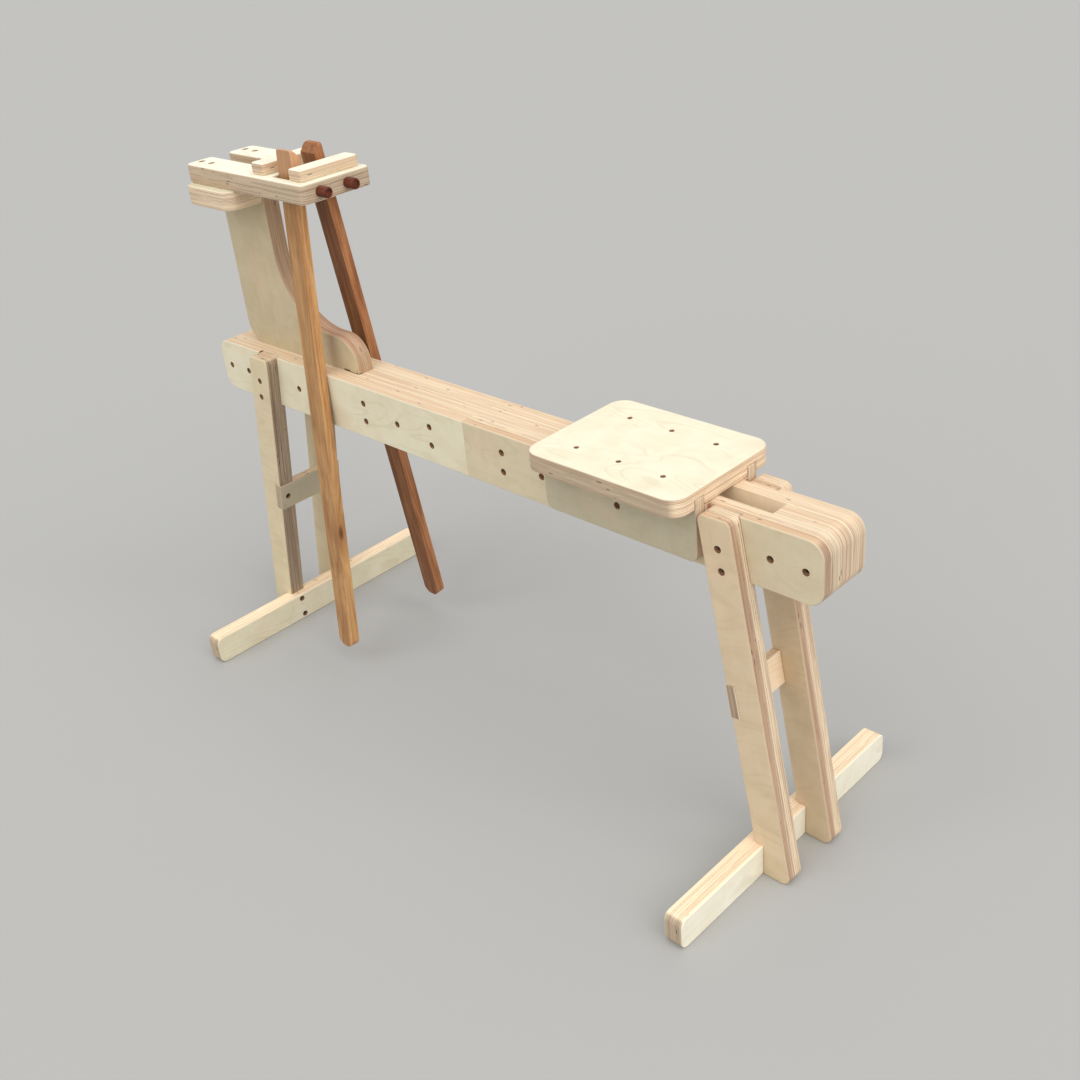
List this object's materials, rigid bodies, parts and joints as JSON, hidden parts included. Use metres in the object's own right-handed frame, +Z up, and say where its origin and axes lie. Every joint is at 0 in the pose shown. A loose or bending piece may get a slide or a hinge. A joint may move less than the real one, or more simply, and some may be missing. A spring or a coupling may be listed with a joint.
{
  "type": "shaving horse",
  "caption": "Plywood shaving horse: straddled beam on splayed legs with foot bars, adjustable seat, and a raised forked work platform with two foot-swung clamping arms.",
  "frame": {"origin": "on the floor under the middle of the beam", "axes": "+X from the work platform towards the seat and the tail, -Y the sitter's left side, +Z up"},
  "size_m": [1.247, 0.49, 0.8977],
  "materials": {
    "birch_ply": "sanded birch plywood, clear oiled",
    "birch_core": "plywood seen on its glued edges, clear oiled",
    "seat_birch": "sanded birch plywood, clear oiled",
    "honey_hardwood": "planed hardwood, oiled",
    "russet_hardwood": "planed hardwood, oiled",
    "dark_hardwood": "turned dark hardwood, waxed",
    "pivot_steel": "plain steel rod",
    "black_screw_steel": "black phosphated screws"
  },
  "bodies": {
    "frame": {"beam_core_front": "birch_core", "beam_core_middle": "birch_core", "beam_core_rear": "birch_core", "beam_side_left_front": "birch_ply", "beam_side_left_rear": "birch_ply", "beam_side_right_front": "birch_ply", "beam_side_right_rear": "birch_ply", "leg_front_left": "birch_ply", "leg_front_right": "birch_ply", "leg_rear_left": "birch_ply", "leg_rear_right": "birch_ply", "foot_bar_front": "birch_ply", "foot_bar_rear": "birch_ply", "cross_rail_front": "birch_ply", "cross_rail_rear": "birch_ply", "tower": "birch_ply", "tower_cap": "birch_ply", "platform": "birch_ply", "rest_bar_front": "birch_ply", "rest_bar_rear": "birch_ply", "pivot_rod_left": "pivot_steel", "pivot_rod_right": "pivot_steel", "pivot_knob_left": "dark_hardwood", "pivot_knob_right": "dark_hardwood", "beam_screws": "black_screw_steel", "leg_screws": "black_screw_steel", "foot_bar_screws": "black_screw_steel", "cross_rail_screws": "black_screw_steel", "platform_screws": "black_screw_steel"},
    "arm_left": {"swing_arm_left": "honey_hardwood"},
    "arm_right": {"swing_arm_right": "russet_hardwood"},
    "seat": {"seat_board": "seat_birch", "seat_cheek_left": "birch_ply", "seat_cheek_right": "birch_ply", "seat_screws": "black_screw_steel", "seat_clamp_screws": "black_screw_steel"}
  },
  "joints": [
    {"name": "arm_left_swing", "type": "hinge", "parent": "frame", "child": "arm_left", "pos_m": [-0.3295, -0.0327, 0.844], "axis": [-1, 0, 0], "range_deg": [0, 15]},
    {"name": "arm_right_swing", "type": "hinge", "parent": "frame", "child": "arm_right", "pos_m": [-0.3295, 0.019, 0.844], "axis": [1, 0, 0], "range_deg": [-0.3, 12]},
    {"name": "seat_slide", "type": "slide", "parent": "frame", "child": "seat", "axis": [-1, 0, 0], "range_m": [0, 0.11]}
  ]
}
